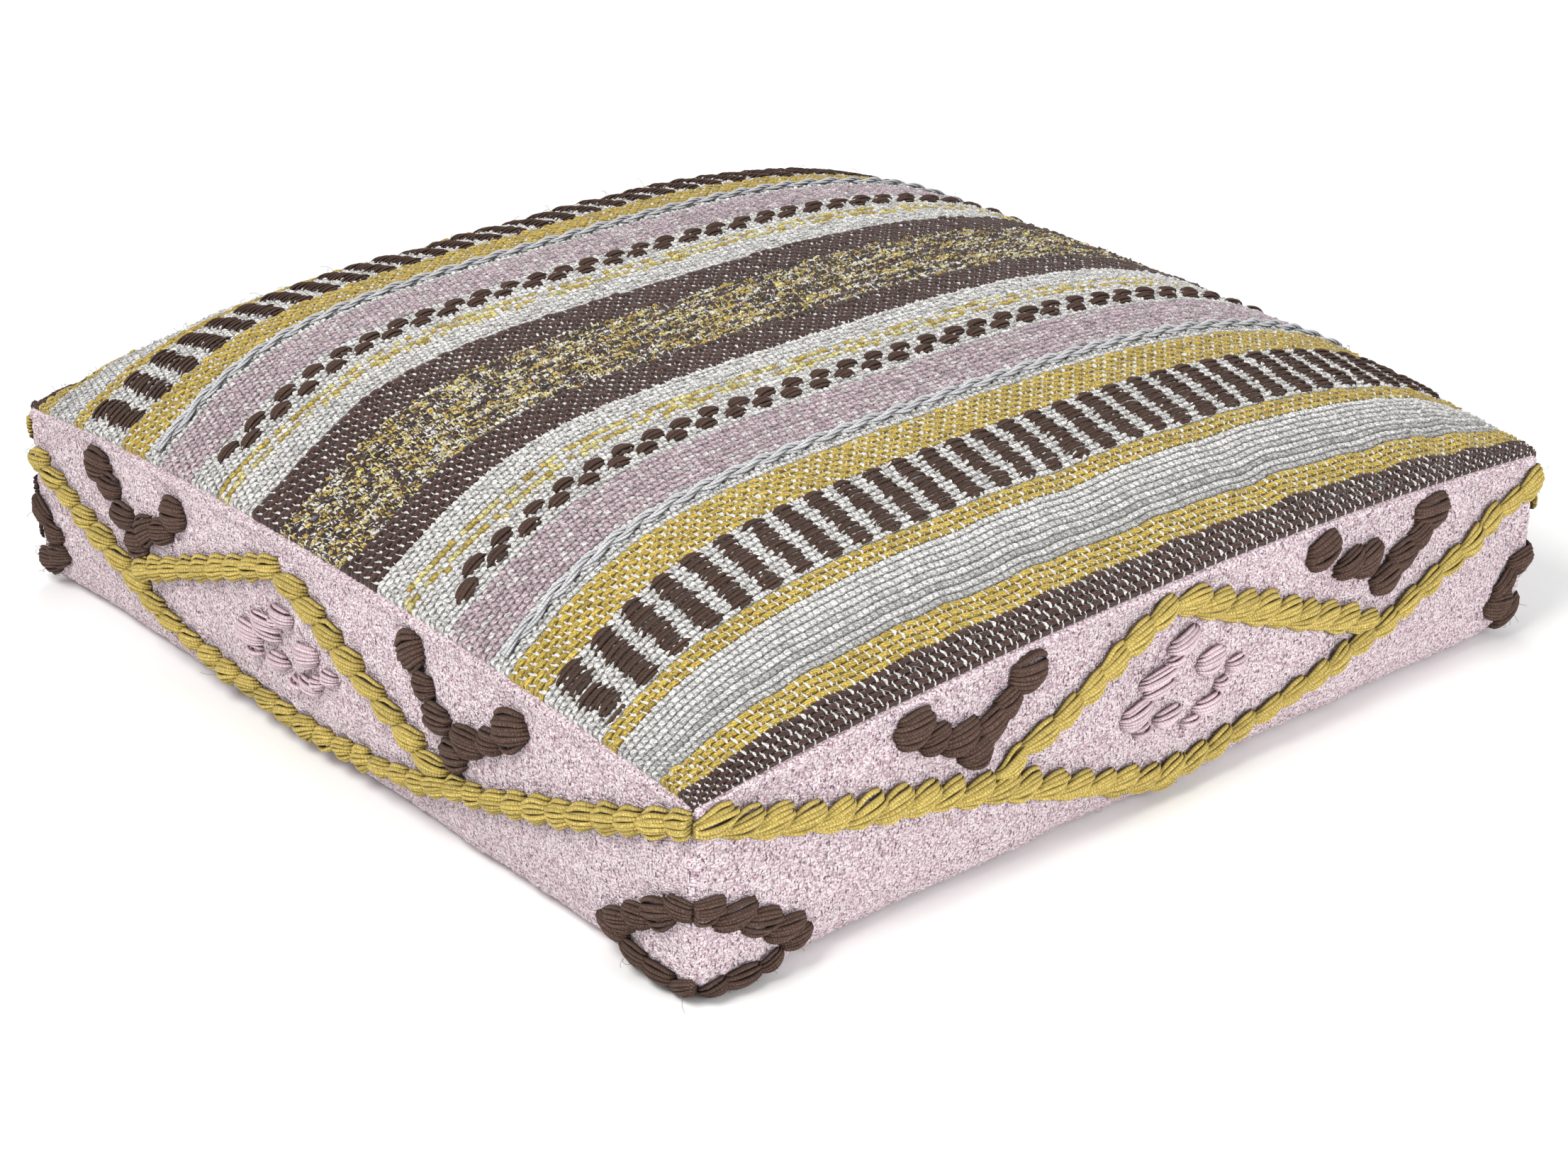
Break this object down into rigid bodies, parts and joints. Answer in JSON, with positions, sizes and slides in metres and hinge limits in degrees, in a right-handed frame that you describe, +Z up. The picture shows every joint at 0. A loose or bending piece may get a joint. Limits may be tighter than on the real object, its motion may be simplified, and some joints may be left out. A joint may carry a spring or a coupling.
{
  "type": "floor cushion",
  "caption": "Square boxed floor cushion: a crowned striped woven top, embroidered sides, a zipped cover and a removable filled pad.",
  "frame": {"origin": "on the floor under the middle of the cushion", "axes": "+Z up; the stripes of the top run along X; the front side faces -Y and the zip is low on the back side, facing +Y"},
  "size_m": [0.619, 0.6146, 0.1866],
  "materials": {
    "striped_weave": "matte",
    "pink_weave": "matte",
    "base_cloth": "matte",
    "mustard_yarn": "matte",
    "brown_yarn": "matte",
    "pink_yarn": "matte",
    "liner_cloth": "matte",
    "loose_fill": "matte",
    "zip_tape": "matte",
    "zip_coil": "satin",
    "zip_metal": "satin"
  },
  "bodies": {
    "cover": {"top_panel": "striped_weave", "bottom_panel": "base_cloth", "pad_liner_upper": "liner_cloth", "pad_liner_lower": "liner_cloth", "fill_pad": "loose_fill", "side_panel_front": "pink_weave", "rope_long_front": "mustard_yarn", "rope_peak_front": "mustard_yarn", "vee_a_front": "brown_yarn", "vee_b_front": "brown_yarn", "ring_near_front": "brown_yarn", "ring_far_front": "brown_yarn", "cluster_front": "pink_yarn", "side_panel_right": "pink_weave", "rope_long_right": "mustard_yarn", "rope_peak_right": "mustard_yarn", "vee_a_right": "brown_yarn", "vee_b_right": "brown_yarn", "ring_near_right": "brown_yarn", "ring_far_right": "brown_yarn", "cluster_right": "pink_yarn", "side_panel_back": "pink_weave", "rope_long_back": "mustard_yarn", "rope_peak_back": "mustard_yarn", "vee_a_back": "brown_yarn", "vee_b_back": "brown_yarn", "ring_near_back": "brown_yarn", "ring_far_back": "brown_yarn", "cluster_back": "pink_yarn", "side_panel_left": "pink_weave", "rope_long_left": "mustard_yarn", "rope_peak_left": "mustard_yarn", "vee_a_left": "brown_yarn", "vee_b_left": "brown_yarn", "ring_near_left": "brown_yarn", "ring_far_left": "brown_yarn", "cluster_left": "pink_yarn", "zip_tape_upper": "zip_tape", "zip_coil_upper": "zip_coil", "zip_tape_lower": "zip_tape", "zip_coil_lower": "zip_coil", "zip_stop_closed": "zip_metal", "zip_stop_open": "zip_metal"},
    "slider": {"zip_slider": "zip_metal"},
    "pull": {"zip_pull": "zip_metal"}
  },
  "joints": [
    {"name": "zip_slide", "type": "slide", "parent": "cover", "child": "slider", "axis": [-1, 0, 0], "range_m": [0, 0.486]},
    {"name": "pull_turn", "type": "hinge", "parent": "slider", "child": "pull", "pos_m": [0.2432, 0.30205, 0.017], "axis": [0, 0, -1], "range_deg": [0, 180]}
  ]
}
